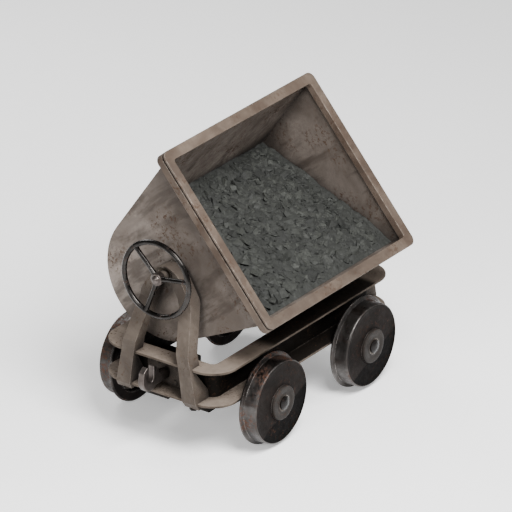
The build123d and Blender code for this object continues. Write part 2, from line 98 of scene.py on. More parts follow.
# how much of each noise shows: low and high ends of its ramp
wearRanges = {
    "patches": (0.32, 0.68), "mottle": (0.3, 0.75), "streaks": (0.5, 0.66), "rustPatches": (0.42, 0.66),
    "rustSoftness": 0.07, "edges": (0.93, 0.995), "chips": (0.4, 0.62), "gloss": (0.25, 0.75),
}
# how finer noises follow the broad ones, and what wear does to the gloss
wearShares = {
    "fineScale": 7, "dentScale": 2.5, "rustPatchScale": 0.12, "rustToneScale": 160,
    "rustAndShadeDull": 0.25, "rubShines": 0.22, "rustCovers": 0.85,
}


# plate, casting or bar: tone changes, run marks, rust specks, painted shade in corners, rubbed edges
def wornMetal(name, look):
    material = bpy.data.materials.new(name)
    material.use_nodes = True
    tree = material.node_tree
    shader = tree.nodes["Principled BSDF"]
    where = place(tree, "ShaderNodeTexCoord").outputs["Object"]

    # broad tone, then finer mottling over it
    broad = spread(tree, cloud(tree, where, look["patchScale"], 4, 0.6, 0.6), *wearRanges["patches"])
    colour = blendColour(tree, broad, look["deep"], look["pale"])
    fine = cloud(tree, where, look["patchScale"] * wearShares["fineScale"], 6, 0.7)
    mottled = spread(tree, fine, *wearRanges["mottle"], 0.0, look["mottle"])
    colour = blendColour(tree, mottled, colour, look["base"])

    # marks that run down the plate, along z of the given tilt
    stretch = {"Vector": where, "Rotation": (look["runTilt"], 0, 0), "Scale": look["runStretch"]}
    run = place(tree, "ShaderNodeMapping", stretch, vector_type="TEXTURE").outputs[0]
    streak = spread(tree, cloud(tree, run, look["runScale"], 4, 0.62, 0.35), *wearRanges["streaks"])
    colour = blendColour(tree, calc(tree, "MULTIPLY", streak, look["runAmount"]), colour, look["stain"])

    if "hollow" in look:
        spot = place(tree, "ShaderNodeSeparateXYZ", {0: where}).outputs
        normal = place(tree, "ShaderNodeNewGeometry").outputs["Normal"]
        facingUp = place(tree, "ShaderNodeSeparateXYZ", {0: normal}).outputs[2]

        # painted shade inside the channel's recess, clear of the flanges' faces and edges
        webX, webY = look["hollow"]
        inX = calc(tree, "SUBTRACT", calc(tree, "ABSOLUTE", spot[0]), webX)
        inY = calc(tree, "SUBTRACT", calc(tree, "ABSOLUTE", spot[1]), webY)
        depth = spread(tree, calc(tree, "MAXIMUM", inX, inY), *look["hollowDepth"], 1.0, 0.0)
        upright = spread(tree, facingUp, 0.3, 0.7, 1.0, 0.0)
        soot = calc(tree, "MULTIPLY", calc(tree, "MULTIPLY", depth, upright), look["sootAmount"])
        colour = blendColour(tree, soot, colour, look["paintedShade"])

        # painted top light: the flanges' tops are painted paler, as if lit from above
        uneven = spread(tree, fine, 0.2, 0.7, look["paintedTopLight"] * 0.55, look["paintedTopLight"])
        litTops = calc(tree, "MULTIPLY", spread(tree, facingUp, 0.6, 0.9), uneven)
        colour = blendColour(tree, litTops, colour, look["dustAndTopLight"])

        # painted shadow: under the tub's lip the same tops are painted black, as the tub's cast shadow
        frontEnd = spread(tree, spot[0], *look["tubShadowFront"], 1.0, 0.0)
        clear = calc(tree, "ADD", frontEnd, spread(tree, spot[0], *look["tubShadowRear"]), clamp=True)
        tubShadow = calc(tree, "MULTIPLY", spread(tree, facingUp, 0.3, 0.7),
                      calc(tree, "SUBTRACT", look["tubShadowAmount"], clear, clamp=True))
        colour = blendColour(tree, tubShadow, colour, look["paintedShade"])
    if "paintedShadow" in look:
        # painted shadow: one part of the disc is painted dark, as a cast shadow
        beyond = place(tree, "ShaderNodeAttribute", attribute_name="paintedShadow").outputs["Fac"]
        shadowed = spread(tree, beyond, *look["paintedShadowEdge"], 0.0, look["paintedShadow"])
        colour = blendColour(tree, shadowed, colour, look["paintedShade"])
    if "mouthDarkening" in look:
        # the paint darkens towards the rim and fades out towards the tub's bottom
        fromPivot = {0: where, 1: tuple(pivot)}
        inTub = place(tree, "ShaderNodeVectorMath", fromPivot, operation="SUBTRACT").outputs[0]
        alongUp = {0: inTub, 1: tuple(tubFrame.to_3x3().col[2])}
        height = place(tree, "ShaderNodeVectorMath", alongUp, operation="DOT_PRODUCT").outputs["Value"]
        ragged = calc(tree, "MULTIPLY", calc(tree, "SUBTRACT", fine, 0.5), look["mouthRagged"])
        towardsMouth = spread(tree, calc(tree, "ADD", height, ragged), *look["mouthSpan"], 0.0, look["mouthDarkening"])
        colour = blendColour(tree, towardsMouth, colour, look["stain"])

    # rust: specks gathered in patches
    broadRust = cloud(tree, where, look["rustScale"] * wearShares["rustPatchScale"], 3, 0.5)
    patch = spread(tree, broadRust, *wearRanges["rustPatches"])
    speck = spread(tree, cloud(tree, where, look["rustScale"], 6, 0.72), look["rustEdge"],
                   look["rustEdge"] + wearRanges["rustSoftness"])
    rust = calc(tree, "MULTIPLY", calc(tree, "MULTIPLY", patch, speck), look["rustAmount"])
    rustMix = cloud(tree, where, wearShares["rustToneScale"], 3)
    rustTone = blendColour(tree, rustMix, look["rust"], look["rustPale"])
    colour = blendColour(tree, rust, colour, rustTone)

    # painted shade: corners and occluded places are darkened by occlusion, and edges are rubbed
    corner = place(tree, "ShaderNodeAmbientOcclusion", {"Distance": look["shadeReach"]}, samples=6)
    paintedShade = calc(tree, "MULTIPLY", spread(tree, corner.outputs["AO"], *look["shadeRange"], 1.0, 0.0),
                 look["shadeAmount"])
    colour = blendColour(tree, paintedShade, colour, look["paintedShade"])
    rounded = place(tree, "ShaderNodeBevel", {"Radius": look["edgeReach"]}, samples=4).outputs[0]
    flat = place(tree, "ShaderNodeNewGeometry").outputs["Normal"]
    same = place(tree, "ShaderNodeVectorMath", {0: rounded, 1: flat}, operation="DOT_PRODUCT").outputs["Value"]
    edge = spread(tree, same, *wearRanges["edges"], 1.0, 0.0)
    chips = spread(tree, cloud(tree, where, look["chipScale"], 5, 0.65), *wearRanges["chips"])
    rub = calc(tree, "MULTIPLY", calc(tree, "MULTIPLY", edge, chips), look["edgeAmount"])
    colour = blendColour(tree, rub, colour, look["bare"])
    tree.links.new(colour, shader.inputs["Base Color"])

    # roughness falls where metal is rubbed and rises over rust and the painted corner shade
    gloss = spread(tree, fine, *wearRanges["gloss"], look["smooth"], look["rough"])
    dullRustAndShade = calc(tree, "MULTIPLY", calc(tree, "ADD", rust, paintedShade), wearShares["rustAndShadeDull"])
    shine = calc(tree, "MULTIPLY", rub, wearShares["rubShines"])
    gloss = calc(tree, "SUBTRACT", calc(tree, "ADD", gloss, dullRustAndShade), shine, clamp=True)
    tree.links.new(gloss, shader.inputs["Roughness"])
    if look["metallic"] == 1:
        covered = calc(tree, "MULTIPLY", rust, wearShares["rustCovers"])
        tree.links.new(calc(tree, "SUBTRACT", 1.0, covered, clamp=True), shader.inputs["Metallic"])
    elif look["edgeAmount"]:
        bare = calc(tree, "MULTIPLY", rub, 1 - look["metallic"])
        tree.links.new(calc(tree, "ADD", look["metallic"], bare, clamp=True), shader.inputs["Metallic"])
    else:
        shader.inputs["Metallic"].default_value = look["metallic"]

    # surface: sand grain, dents and the thickness of the rust
    grain = cloud(tree, where, look["grainScale"], 4, 0.6)
    dent = cloud(tree, where, look["patchScale"] * wearShares["dentScale"], 2, 0.4)
    height = calc(tree, "ADD", calc(tree, "MULTIPLY", grain, look["grainDepth"]),
                  calc(tree, "MULTIPLY", dent, look["dentDepth"]))
    height = calc(tree, "ADD", height, calc(tree, "MULTIPLY", rust, look["rustDepth"]))
    bump = place(tree, "ShaderNodeBump", {"Height": height, "Strength": 1.0, "Distance": 1.0})
    tree.links.new(bump.outputs[0], shader.inputs["Normal"])
    shader.inputs["Specular IOR Level"].default_value = look["sheen"]
    return material


# finishes: colours are linear

paintLook = {
    "base": (0.062, 0.049, 0.039), "pale": (0.09, 0.073, 0.059), "deep": (0.038, 0.029, 0.023), "mottle": 0.6,
    "stain": (0.034, 0.026, 0.021), "runAmount": 0.42, "runTilt": 0.0, "runStretch": (1, 1, 6),
    "runScale": 11.0, "rust": (0.028, 0.016, 0.01), "rustPale": (0.062, 0.036, 0.022), "rustScale": 85.0,
    # painted shade: colour, amount and reach of the darkening in corners and occluded places
    "rustEdge": 0.54, "rustAmount": 0.8, "paintedShade": (0.007, 0.006, 0.0055), "shadeAmount": 0.9,
    "shadeReach": 0.14, "shadeRange": (0.3, 0.85),
    "bare": (0.23, 0.2, 0.17), "edgeAmount": 0.5, "edgeReach": 0.003, "chipScale": 45.0,
    "patchScale": 6.0, "smooth": 0.5, "rough": 0.8, "metallic": 0.0, "sheen": 0.15,
    "grainScale": 420.0, "grainDepth": 0.0005, "dentDepth": 0.0022, "rustDepth": 0.0004,
}
framePaint = wornMetal("framePaint", paintLook)
channelPaint = wornMetal("channelPaint", {
    **paintLook, "base": (0.08, 0.064, 0.052), "pale": (0.11, 0.09, 0.074), "deep": (0.054, 0.042, 0.033),
    # painted shade in the channel's recess
    "hollow": (0.485, 0.202), "hollowDepth": (0.02, 0.064), "sootAmount": 0.97,
    # painted shadow of the tub over the side tops, clear of both ends
    "tubShadowFront": (-0.28, -0.2), "tubShadowRear": (0.4, 0.44), "tubShadowAmount": 0.95,
    # painted top light on the flanges' tops
    "paintedTopLight": 0.85, "dustAndTopLight": (0.17, 0.138, 0.113), "paintedShade": (0.0035, 0.003, 0.0027), "sheen": 0.03,
    "shadeReach": 0.1, "shadeRange": (0.25, 0.7), "shadeAmount": 0.7,
})
tubPaint = wornMetal("tubPaint", {
    **paintLook, "base": (0.14, 0.117, 0.101), "pale": (0.2, 0.17, 0.148), "deep": (0.082, 0.066, 0.055),
    "runTilt": tubTilt, "runStretch": (1, 1, 4), "runAmount": 0.7, "runScale": 13.0, "mouthDarkening": 0.6,
    "mouthSpan": (-0.22, 0.16), "mouthRagged": 0.12,
    "rustAmount": 0.9, "rustEdge": 0.52, "rustScale": 70.0, "edgeAmount": 0.3, "shadeReach": 0.09,
    "shadeAmount": 0.75,
})
rimPaint = wornMetal("rimPaint", {
    **paintLook, "base": (0.076, 0.056, 0.043), "pale": (0.108, 0.083, 0.065), "deep": (0.048, 0.033, 0.024),
    "runTilt": tubTilt, "runStretch": (5, 1, 1), "runScale": 8.0, "runAmount": 0.4, "shadeReach": 0.04,
    "rustAmount": 0.85, "rustScale": 60.0, "rustEdge": 0.53, "edgeAmount": 0.75, "edgeReach": 0.004,
})
ironLook = {
    **paintLook, "base": (0.0082, 0.0066, 0.006), "pale": (0.0135, 0.011, 0.01), "deep": (0.0046, 0.0038, 0.0034),
    "stain": (0.01, 0.008, 0.0075), "runAmount": 0.35, "rust": (0.035, 0.015, 0.009),
    "rustPale": (0.055, 0.028, 0.018), "rustAmount": 0.5, "bare": (0.3, 0.28, 0.265), "edgeAmount": 0.85,
    "edgeReach": 0.0025, "chipScale": 26.0, "smooth": 0.4, "rough": 0.65, "metallic": 0.0, "sheen": 0.02,
    "dentDepth": 0.0016, "shadeAmount": 0.5, "shadeReach": 0.05, "patchScale": 7.0,
}
wheelIron = wornMetal("wheelIron", ironLook)
# near wheels: a painted shadow darkens the disc beyond a slanted line under the hub
shadowedWheelIron = wornMetal("shadowedWheelIron", {
    **ironLook, "paintedShadow": 0.97, "paintedShadowEdge": (0.044, 0.05), "paintedShade": (0.0013, 0.0011, 0.001),
})
hubIron = wornMetal("hubIron", {
    **ironLook, "base": (0.016, 0.0132, 0.0113), "pale": (0.022, 0.0185, 0.016), "deep": (0.011, 0.009, 0.0078),
    "sheen": 0.08, "rough": 0.56, "edgeAmount": 0.6,
})
shadowIron = wornMetal("shadowIron", {
    **ironLook, "base": (0.012, 0.0105, 0.0095), "pale": (0.018, 0.015, 0.013), "deep": (0.008, 0.007, 0.006),
    "edgeAmount": 0.2, "metallic": 0.2, "rough": 0.75, "shadeAmount": 0.8,
})
wornTread = wornMetal("wornTread", {
    **ironLook, "base": (0.042, 0.038, 0.036), "pale": (0.085, 0.08, 0.077), "deep": (0.018, 0.016, 0.015),
    "stain": (0.03, 0.022, 0.019), "runStretch": (1, 6, 1), "runScale": 22.0, "runAmount": 0.6,
    "rust": (0.055, 0.024, 0.014), "rustPale": (0.1, 0.045, 0.028), "rustAmount": 0.75, "rustEdge": 0.48,
    "smooth": 0.24, "rough": 0.48, "metallic": 1.0, "dentDepth": 0.0012,
})
polishedSteel = wornMetal("polishedSteel", {
    **ironLook, "base": (0.026, 0.024, 0.0225), "pale": (0.048, 0.045, 0.043), "deep": (0.014, 0.013, 0.0122),
    "stain": (0.03, 0.024, 0.02), "runAmount": 0.15, "rust": (0.045, 0.018, 0.01),
    "rustPale": (0.09, 0.04, 0.022), "rustScale": 60.0, "rustEdge": 0.54, "rustAmount": 0.6, "smooth": 0.16,
    "rough": 0.32, "metallic": 1.0, "dentDepth": 0.0004, "grainDepth": 0.0001, "edgeReach": 0.002, "edgeAmount": 0.15,
})
hookSteel = wornMetal("hookSteel", {
    **ironLook, "base": (0.095, 0.08, 0.074), "pale": (0.17, 0.15, 0.14), "deep": (0.05, 0.041, 0.037),
    "stain": (0.03, 0.022, 0.018), "rustAmount": 0.6, "smooth": 0.28, "rough": 0.46, "metallic": 1.0,
    "dentDepth": 0.001, "edgeAmount": 0.3,
})
capSteel = wornMetal("capSteel", {
    **ironLook, "base": (0.006, 0.0053, 0.005), "pale": (0.009, 0.008, 0.0075), "deep": (0.004, 0.0035, 0.0033),
    "sheen": 0.14, "smooth": 0.16, "rough": 0.26, "rustAmount": 0.2, "edgeAmount": 0.0,
})
bearingBronze = wornMetal("bearingBronze", {
    **ironLook, "base": (0.04, 0.03, 0.021), "pale": (0.06, 0.046, 0.033), "deep": (0.02, 0.015, 0.011),
    "rustAmount": 0.2, "smooth": 0.3, "rough": 0.55, "metallic": 1.0,
})


# broken ore: every lump has its own tone, with dust, pits, fine cleavage and painted shade in the gaps
def stoneFinish(name, look):
    material = bpy.data.materials.new(name)
    material.use_nodes = True
    tree = material.node_tree
    shader = tree.nodes["Principled BSDF"]
    where = place(tree, "ShaderNodeTexCoord").outputs["Object"]
    lump = place(tree, "ShaderNodeAttribute", attribute_name="lumpTone").outputs["Fac"]
    colour = blendColour(tree, lump, look["deep"], look["pale"])
    vein = cloud(tree, where, look["veinScale"], 7, 0.7, 1.2)
    colour = blendColour(tree, spread(tree, vein, 0.35, 0.7, 0.0, look["dustAmount"]), colour, look["dustAndTopLight"])
    pit = spread(tree, cloud(tree, where, look["pitScale"], 4, 0.7), 0.36, 0.56, look["pitAmount"], 0.0)
    colour = blendColour(tree, pit, colour, look["pitAndGapShade"])
    # painted shade: the gaps between lumps are darkened by occlusion
    corner = place(tree, "ShaderNodeAmbientOcclusion", {"Distance": look["gapShadeReach"]}, samples=6)
    gapShade = spread(tree, corner.outputs["AO"], 0.2, 0.85, look["gapShadeAmount"], 0.0)
    colour = blendColour(tree, gapShade, colour, look["pitAndGapShade"])
    tree.links.new(colour, shader.inputs["Base Color"])
    tree.links.new(spread(tree, vein, 0.3, 0.7, 0.62, 0.92), shader.inputs["Roughness"])
    height = calc(tree, "ADD", calc(tree, "MULTIPLY", vein, look["veinDepth"]),
                  calc(tree, "MULTIPLY", cloud(tree, where, look["pitScale"] * 2, 3), look["pitDepth"]))
    bump = place(tree, "ShaderNodeBump", {"Height": height, "Strength": 1.0, "Distance": 1.0})
    tree.links.new(bump.outputs[0], shader.inputs["Normal"])
    shader.inputs["Specular IOR Level"].default_value = 0.4
    return material


brokenOre = stoneFinish("brokenOre", {
    "deep": (0.0085, 0.0092, 0.0077), "pale": (0.034, 0.036, 0.0305), "dustAndTopLight": (0.0155, 0.0165, 0.0138),
    "pitAndGapShade": (0.006, 0.0065, 0.006), "veinScale": 38.0, "pitScale": 120.0, "veinDepth": 0.004,
    "pitDepth": 0.0012, "gapShadeReach": 0.02, "dustAmount": 0.6, "pitAmount": 0.55, "gapShadeAmount": 0.75,
})
print("finishes made")


# mesh helpers

onePoint = 1e-6  # corners nearer than this are one
ringSides = 20  # sides of a round bar


def makeObject(name, vertices, faces, materials, smoothAngle=None, faceFinish=None):
    mesh = bpy.data.meshes.new(name)
    mesh.from_pydata([tuple(v) for v in vertices], [], faces)
    mesh.validate()
    made = bpy.data.objects.new(name, mesh)
    bpy.context.scene.collection.objects.link(made)
    for material in materials:
        mesh.materials.append(material)
    if faceFinish:
        mesh.polygons.foreach_set("material_index", faceFinish)
    cleaner = bmesh.new()
    cleaner.from_mesh(mesh)
    bmesh.ops.recalc_face_normals(cleaner, faces=cleaner.faces)
    if smoothAngle is not None:
        for face in cleaner.faces:
            face.smooth = True
        for edge in cleaner.edges:
            edge.smooth = len(edge.link_faces) != 2 or edge.calc_face_angle() < smoothAngle
    cleaner.to_mesh(mesh)
    cleaner.free()
    return made


def ownedBy(made, body, slot, *nodes):
    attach(made, body)
    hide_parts(*nodes)


# a lathe piece: profile is (along, radius), closed onto itself
def turned(name, profile, centre, axis, materials, segments, finishes=None):
    axis = Vector(axis).normalized()
    across = axis.cross(Vector((1, 0, 0) if abs(axis.x) < 0.9 else (0, 0, 1))).normalized()
    other = axis.cross(across)
    points, faces, faceFinish = [], [], []
    count = len(profile)
    for step in range(segments):
        turn = 2 * math.pi * step / segments
        radial = across * math.cos(turn) + other * math.sin(turn)
        points += [Vector(centre) + axis * along + radial * radius for along, radius in profile]
    for step in range(segments):
        here, there = step * count, (step + 1) % segments * count
        for i in range(count):
            j = (i + 1) % count
            faces.append((here + i, here + j, there + j, there + i))
            faceFinish.append(finishes[i] if finishes else 0)
    made = makeObject(name, points, faces, materials, math.radians(32), faceFinish)
    cleaner = bmesh.new()
    cleaner.from_mesh(made.data)
    bmesh.ops.remove_doubles(cleaner, verts=cleaner.verts, dist=onePoint)
    cleaner.to_mesh(made.data)
    cleaner.free()
    return made


# a round bar along path, with a radius at each point
def swept(name, path, radii, materials, upHint, closed=False):
    points, faces = [], []
    total = len(path)
    for i, spot in enumerate(path):
        before = path[i - 1] if closed or i else path[0]
        after = path[(i + 1) % total] if closed or i < total - 1 else path[-1]
        along = (Vector(after) - Vector(before)).normalized()
        sideways = along.cross(Vector(upHint)).normalized()
        upward = sideways.cross(along)
        for k in range(ringSides):
            turn = 2 * math.pi * k / ringSides
            points.append(Vector(spot) + (sideways * math.cos(turn) + upward * math.sin(turn)) * radii[i])
    for i in range(total if closed else total - 1):
        here, there = i * ringSides, (i + 1) % total * ringSides
        for k in range(ringSides):
            after = (k + 1) % ringSides
            faces.append((here + k, here + after, there + after, there + k))
    if not closed:
        faces.append(tuple(range(ringSides - 1, -1, -1)))
        faces.append(tuple((total - 1) * ringSides + k for k in range(ringSides)))
    return makeObject(name, points, faces, materials, math.radians(50))


# wheels

wheelSettings = {
    "innerFace": 284 * mm, "axleHeight": 174 * mm, "halfBase": 283 * mm, "segments": 112, "plateSegments": 80,
    "paintedShadowSlant": math.radians(25),
}
hubPlateProfile = [
    # along the axle from the wheel's inner face, radius
    (66, 30), (66, 65), (74, 65), (75.6, 64.6), (77, 63.4), (77.8, 61.5), (78, 59), (78, 44), (77.4, 42.5),
    (77.4, 34), (78, 32.5), (78, 30),
]


def wheelProfile():
    # (along the axle from the inner face, radius, finish of the run that follows)
    rows = [(0, 30, 0), (0, 63, 0), (2, 66, 0), (24, 76.5, 0), (26, 79, 0), (26, 122, 0), (24, 125.5, 0),
            (2, 135, 0), (0, 138, 0), (0, 168, 1), (1, 171.2, 1), (3.2, 173.5, 1), (5.5, 174, 1), (8.5, 173.6, 1),
            (10.4, 171.6, 1), (13, 163.4, 1), (14.8, 161, 1), (18, 160, 1), (40, 159.5, 1), (60, 159, 1),
            (63, 158.2, 1), (65.1, 156.4, 1), (66, 153.8, 0), (66, 149, 0), (65.2, 147, 0), (64.6, 140, 0),
            (64.6, 90, 0), (65.2, 74, 0), (66, 70, 0), (66, 30, 0)]
    return [(a * mm, r * mm) for a, r, _ in rows], [f for _, _, f in rows]


profile, finishes = wheelProfile()
plateProfile = [(a * mm, r * mm) for a, r in hubPlateProfile]
slant = wheelSettings["paintedShadowSlant"]
for endName, end in ends:
    for sideName, side in sides:
        body = f"wheel_set_{endName}_{sideName}"
        hub = (end * wheelSettings["halfBase"], side * wheelSettings["innerFace"], wheelSettings["axleHeight"])
        disc = turned(f"wheelDisc_{endName}_{sideName}", profile, hub, (0, side, 0),
                      [shadowedWheelIron if side < 0 else wheelIron, wornTread], wheelSettings["segments"], finishes)
        # how far a point lies beyond the hub's centre, across the edge of the painted shadow
        paintedShadow = disc.data.attributes.new("paintedShadow", "FLOAT", "POINT")
        beyond = [(v.co.x - hub[0]) * math.sin(slant) - (v.co.z - hub[2]) * math.cos(slant)
                  for v in disc.data.vertices]
        paintedShadow.data.foreach_set("value", beyond)
        ownedBy(disc, body, "wheel_iron", f"wheel_{endName}_{sideName}")
        hubPlate = turned(f"hubPlate_{endName}_{sideName}", plateProfile, hub, (0, side, 0), [hubIron],
                          wheelSettings["plateSegments"])
        ownedBy(hubPlate, body, "wheel_iron", f"hub_plate_{endName}_{sideName}")
print("wheels made")


# handwheel

handwheelSettings = {
    "ringX": -560 * mm, "hubX": -552 * mm, "ringRadius": 142 * mm, "tube": 9.8 * mm, "ringSteps": 128,
    "spokeAngles": (49, 169, 289), "spokeWaist": 8.6 * mm, "spokeSteps": 14, "bossRadius": 24 * mm,
    "inBoss": 4 * mm, "inRing": 3 * mm, "rootFlare": 2.2 * mm, "rimFlare": 1.6 * mm,
}
ringPath = []
for step in range(handwheelSettings["ringSteps"]):
    turn = 2 * math.pi * step / handwheelSettings["ringSteps"]
    ringPath.append(Vector((handwheelSettings["ringX"], handwheelSettings["ringRadius"] * math.cos(turn),
                            pivot.z + handwheelSettings["ringRadius"] * math.sin(turn))))
ringRadii = [handwheelSettings["tube"]] * len(ringPath)
ring = swept("handwheelRing", ringPath, ringRadii, [polishedSteel], (1, 0, 0), closed=True)
ownedBy(ring, "tub", "polished_steel", "handwheel_ring")

rootRadius = handwheelSettings["bossRadius"] - handwheelSettings["inBoss"]
tipRadius = handwheelSettings["ringRadius"] - handwheelSettings["inRing"]
for number, angle in enumerate(handwheelSettings["spokeAngles"]):
    radial = Vector((0, math.cos(math.radians(angle)), math.sin(math.radians(angle))))
    root = Vector((handwheelSettings["hubX"], 0, pivot.z)) + radial * rootRadius
    tip = Vector((handwheelSettings["ringX"], 0, pivot.z)) + radial * tipRadius
    steps = handwheelSettings["spokeSteps"]
    path = [root.lerp(tip, t / steps) for t in range(steps + 1)]
    # flares where it runs into the boss and into the ring
    radii = [handwheelSettings["spokeWaist"] + max(0, 1 - t / 3) * handwheelSettings["rootFlare"]
             + max(0, (t - steps + 2) / 2) * handwheelSettings["rimFlare"] for t in range(steps + 1)]
    spoke = swept(f"handwheelSpoke_{number + 1}", path, radii, [polishedSteel], (1, 0, 0))
    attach(spoke, "tub")
    if number == 0:
        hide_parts("handwheel_spokes")
print("handwheel made")


# ore

oreSettings = {
    "plate": 6.3 * mm, "bottomRadius": 248 * mm, "drop": 86 * mm, "slope": math.radians(15),
    "halfLength": 427 * mm, "line": ((-0.300, 0.167), (-0.192, 0.119), (-0.020, 0.030), (0.250, -0.116)),
    "acrossSteps": 96, "alongSteps": 170, "underSteps": 24, "easePasses": 14, "seed": 41,
    "swellScale": 5, "swell": 9 * mm, "roughScale": 34, "roughness": 7 * mm, "settle": 4 * mm,
    "liftY": 0.45, "liftZ": 0.9, "bedTone": 0.25,
}
lumpSettings = {
    "count": 3600, "shapes": 36, "sizes": (8 * mm, 38 * mm), "smallShare": 3.2, "corners": (9, 15),
    "flatness": 0.5, "sunk": (0.08, 0.34), "tilt": 0.45, "endRoom": 1.05, "wallRoom": 1.15,
}
random.seed(oreSettings["seed"])
innerRadius = oreSettings["bottomRadius"] - oreSettings["plate"]
tangentY = innerRadius * math.cos(oreSettings["slope"])
tangentZ = -oreSettings["drop"] - innerRadius * math.sin(oreSettings["slope"])


def wallAt(level):
    # half width inside the tub at a level of its own axes
    if level >= tangentZ:
        return tangentY + (level - tangentZ) * math.tan(oreSettings["slope"])
    return math.sqrt(max(innerRadius ** 2 - (level + oreSettings["drop"]) ** 2, 0))


def oreLine(share):
    # the heap's surface across the tub, from the low lip to the high side
    rows = oreSettings["line"]
    spans = [math.dist(a, b) for a, b in zip(rows, rows[1:])]
    want = share * sum(spans)
    for (a, b), span in zip(zip(rows, rows[1:]), spans):
        if want <= span or b is rows[-1]:
            t = min(want / span, 1)
            return a[0] + (b[0] - a[0]) * t, a[1] + (b[1] - a[1]) * t
        want -= span


surface = [oreLine(i / oreSettings["acrossSteps"]) for i in range(oreSettings["acrossSteps"] + 1)]
for _ in range(oreSettings["easePasses"]):
    eased = [tuple(0.25 * surface[i - 1][k] + 0.5 * surface[i][k] + 0.25 * surface[i + 1][k] for k in (0, 1))
             for i in range(1, len(surface) - 1)]
    surface = [surface[0], *eased, surface[-1]]
surface[0] = (-wallAt(surface[0][1]), surface[0][1])
surface[-1] = (wallAt(surface[-1][1]), surface[-1][1])


def heap(x, y):
    # how far the heap swells and dips at a place
    scale = oreSettings["swellScale"]
    broad = noise.fractal(Vector((x * scale, y * scale, 3.1)), 1.0, 2.0, 3)
    return broad * oreSettings["swell"]


# the bed's outline across the tub: its surface, then the tub's inside wall and round bottom
under = []
underSteps = oreSettings["underSteps"]
for k in range(1, underSteps):
    level = surface[0][1] + (tangentZ - surface[0][1]) * k / underSteps
    under.append((-wallAt(level), level))
arcStart, arcEnd = math.pi + oreSettings["slope"], 2 * math.pi - oreSettings["slope"]
for k in range(underSteps + 1):
    turn = arcStart + (arcEnd - arcStart) * k / underSteps
    under.append((innerRadius * math.cos(turn), -oreSettings["drop"] + innerRadius * math.sin(turn)))
under = [spot for spot in under if not (spot[0] > 0 and spot[1] > surface[-1][1])]
section = surface[::-1] + under
rowLength = len(section)
bedPoints, bedFaces = [], []
for i in range(oreSettings["alongSteps"] + 1):
    x = -oreSettings["halfLength"] + 2 * oreSettings["halfLength"] * i / oreSettings["alongSteps"]
    for k, (y, z) in enumerate(section):
        lift = 0.0
        if 0 < k < len(surface) - 1:
            grain = [along * oreSettings["roughScale"] for along in (x, y, z)]
            rough = noise.fractal(Vector(grain), 0.9, 2.1, 4)
            lift = rough * oreSettings["roughness"] + heap(x, y) - oreSettings["settle"]
        spot = (x, y + oreSettings["liftY"] * lift, z + oreSettings["liftZ"] * lift)
        bedPoints.append(tubFrame @ Vector(spot))
for i in range(oreSettings["alongSteps"]):
    for k in range(rowLength):
        a, b = i * rowLength + k, i * rowLength + (k + 1) % rowLength
        bedFaces.append((a, b, b + rowLength, a + rowLength))
bedFaces.append(tuple(range(rowLength)))
bedFaces.append(tuple(oreSettings["alongSteps"] * rowLength + k for k in range(rowLength - 1, -1, -1)))
bed = makeObject("oreBed", bedPoints, bedFaces, [brokenOre], math.radians(28))
tone = bed.data.attributes.new("lumpTone", "FLOAT", "POINT")
tone.data.foreach_set("value", [oreSettings["bedTone"]] * len(bedPoints))
ownedBy(bed, "tub", "broken_ore", "ore_load")


def lumpShape():
    # an angular lump: the hull of a few points near a flattened ball
    builder = bmesh.new()
    for _ in range(random.randint(*lumpSettings["corners"])):
        spot = Vector((random.gauss(0, 1), random.gauss(0, 1), random.gauss(0, 1))).normalized()
        spot *= random.uniform(0.8, 1.05)
        builder.verts.new((spot.x, spot.y * random.uniform(0.75, 1.0), spot.z * lumpSettings["flatness"]))
    bmesh.ops.convex_hull(builder, input=builder.verts)
    spare = [v for v in builder.verts if not v.link_faces]
    bmesh.ops.delete(builder, geom=spare, context="VERTS")
    builder.verts.index_update()
    shape = ([v.co.copy() for v in builder.verts], [tuple(v.index for v in f.verts) for f in builder.faces])
    builder.free()
    return shape


shapes = [lumpShape() for _ in range(lumpSettings["shapes"])]
lumpPoints, lumpFaces, lumpTones = [], [], []
small, large = lumpSettings["sizes"]
tilt = lumpSettings["tilt"]
for _ in range(lumpSettings["count"]):
    size = small + (large - small) * random.random() ** lumpSettings["smallShare"]

    # a place on the heap's surface
    at = random.uniform(0.0, 1.0) * (len(surface) - 1)
    low = min(int(at), len(surface) - 2)
    part = at - low
    y = surface[low][0] * (1 - part) + surface[low + 1][0] * part
    z = surface[low][1] * (1 - part) + surface[low + 1][1] * part
    fall = math.atan2(surface[low + 1][1] - surface[low][1], surface[low + 1][0] - surface[low][0])
    x = random.uniform(-1, 1) * (oreSettings["halfLength"] - size * lumpSettings["endRoom"])

    # sunk into it, clear of the walls
    lift = heap(x, y) - oreSettings["settle"] - size * random.uniform(*lumpSettings["sunk"])
    y, z = y + oreSettings["liftY"] * lift, z + oreSettings["liftZ"] * lift
    room = wallAt(z - size * 0.5) - size * lumpSettings["wallRoom"]
    y = max(-room, min(room, y))
    lie = Matrix.Rotation(fall, 4, "X") @ Matrix.Rotation(random.uniform(-tilt, tilt), 4, "X")
    lie = lie @ Matrix.Rotation(random.uniform(-tilt, tilt), 4, "Y")
    lie = lie @ Matrix.Rotation(random.uniform(0, 6.28), 4, "Z")
    move = tubFrame @ Matrix.Translation((x, y, z)) @ lie @ Matrix.Scale(size, 4)

    vertices, faces = random.choice(shapes)
    first = len(lumpPoints)
    lumpPoints += [move @ v for v in vertices]
    lumpFaces += [tuple(first + k for k in face) for face in faces]
    lumpTones += [random.random() ** 1.4] * len(vertices)
lumps = makeObject("oreLumps", lumpPoints, lumpFaces, [brokenOre])
tone = lumps.data.attributes.new("lumpTone", "FLOAT", "POINT")
tone.data.foreach_set("value", lumpTones)
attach(lumps, "tub")
print("ore heaped:", lumpSettings["count"], "lumps")


# finishes and eased edges for the plate and bar work kept from the frame

